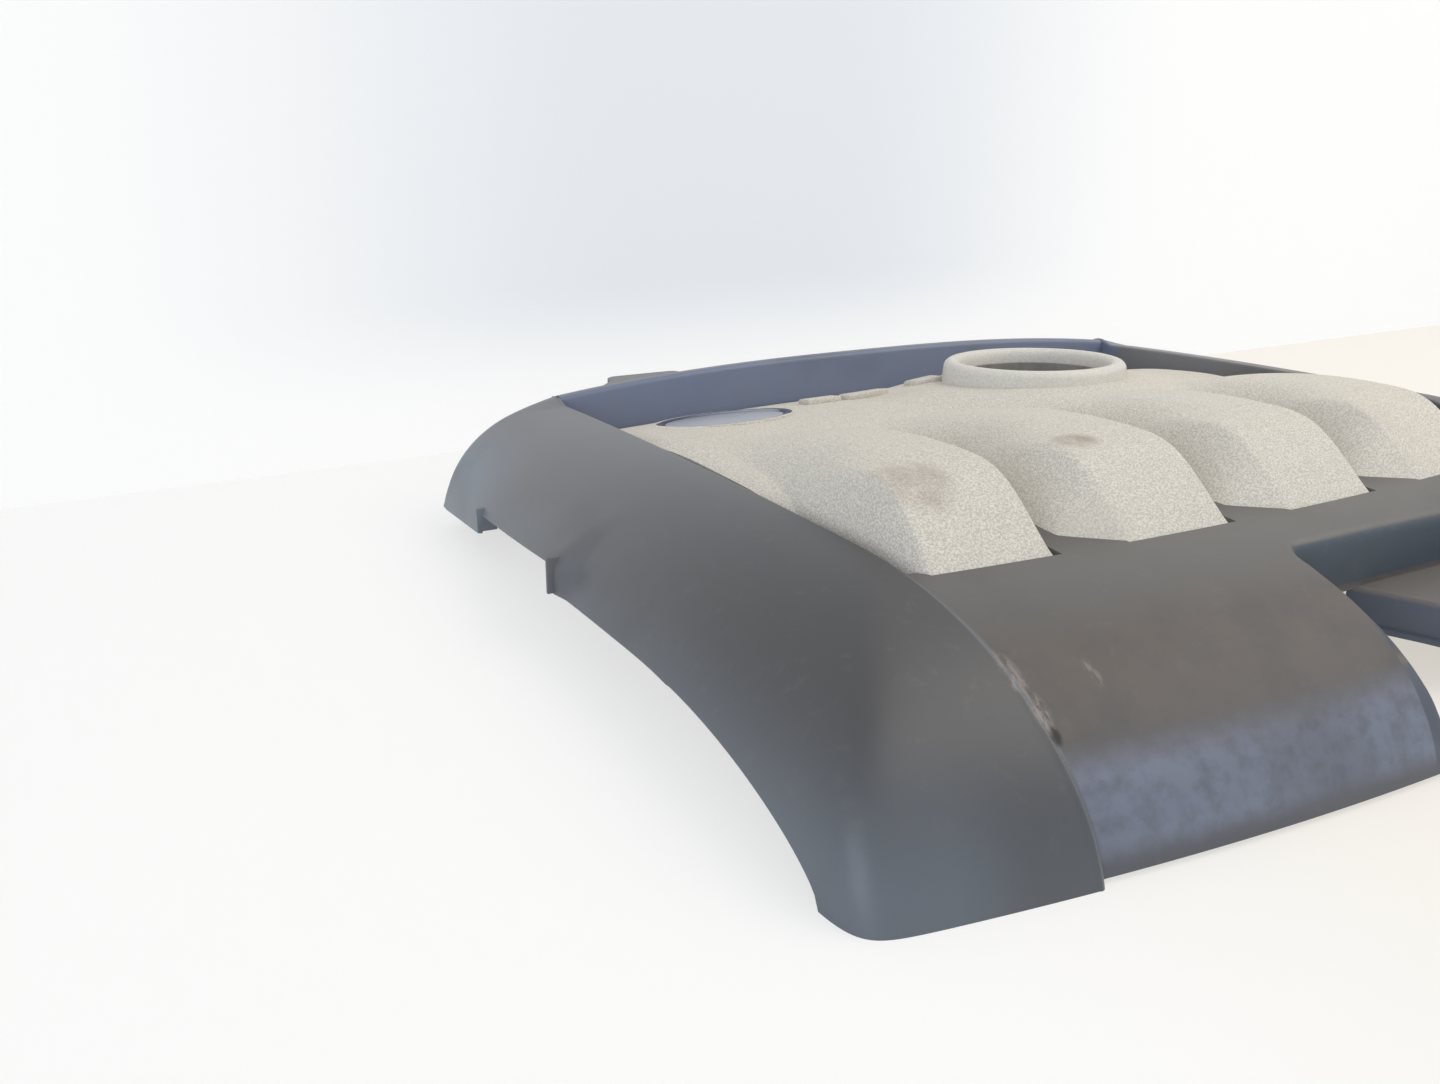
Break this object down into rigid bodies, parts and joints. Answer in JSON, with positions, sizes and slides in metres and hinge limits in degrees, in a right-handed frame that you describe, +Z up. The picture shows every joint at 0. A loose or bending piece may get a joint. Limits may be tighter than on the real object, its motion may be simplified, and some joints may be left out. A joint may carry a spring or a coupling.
{
  "type": "engine cover",
  "caption": "Moulded engine cover: a dark frame with rolled front and side wings, a light insert with humps, and an open filler collar.",
  "frame": {"origin": "under the middle of the whole cover, on the plane that it stands on", "axes": "+X the cover's right hand seen from its front, +Y its rear, +Z up; the front is the rolled panel"},
  "size_m": [0.5876, 0.478, 0.1032],
  "materials": {
    "frame_plastic": "fine grained, satin with faint dust",
    "insert_plastic": "coarse grained, matte, lightly stained",
    "collar_plastic": "coarse grained, matte",
    "sleeve_plastic": "smooth matte",
    "disc_metal": "bright, polished",
    "foam": "open-cell foam",
    "spring_steel": "plain",
    "grommet_rubber": "matte"
  },
  "bodies": {
    "root": {"outer_frame": "frame_plastic", "centre_insert": "insert_plastic", "filler_collar": "collar_plastic", "filler_sleeve": "sleeve_plastic", "blank_disc": "disc_metal", "foam_pad": "foam", "push_nuts": "spring_steel", "grommet_front_left": "grommet_rubber", "grommet_front_right": "grommet_rubber", "grommet_rear_left": "grommet_rubber", "grommet_rear_right": "grommet_rubber"}
  },
  "joints": []
}
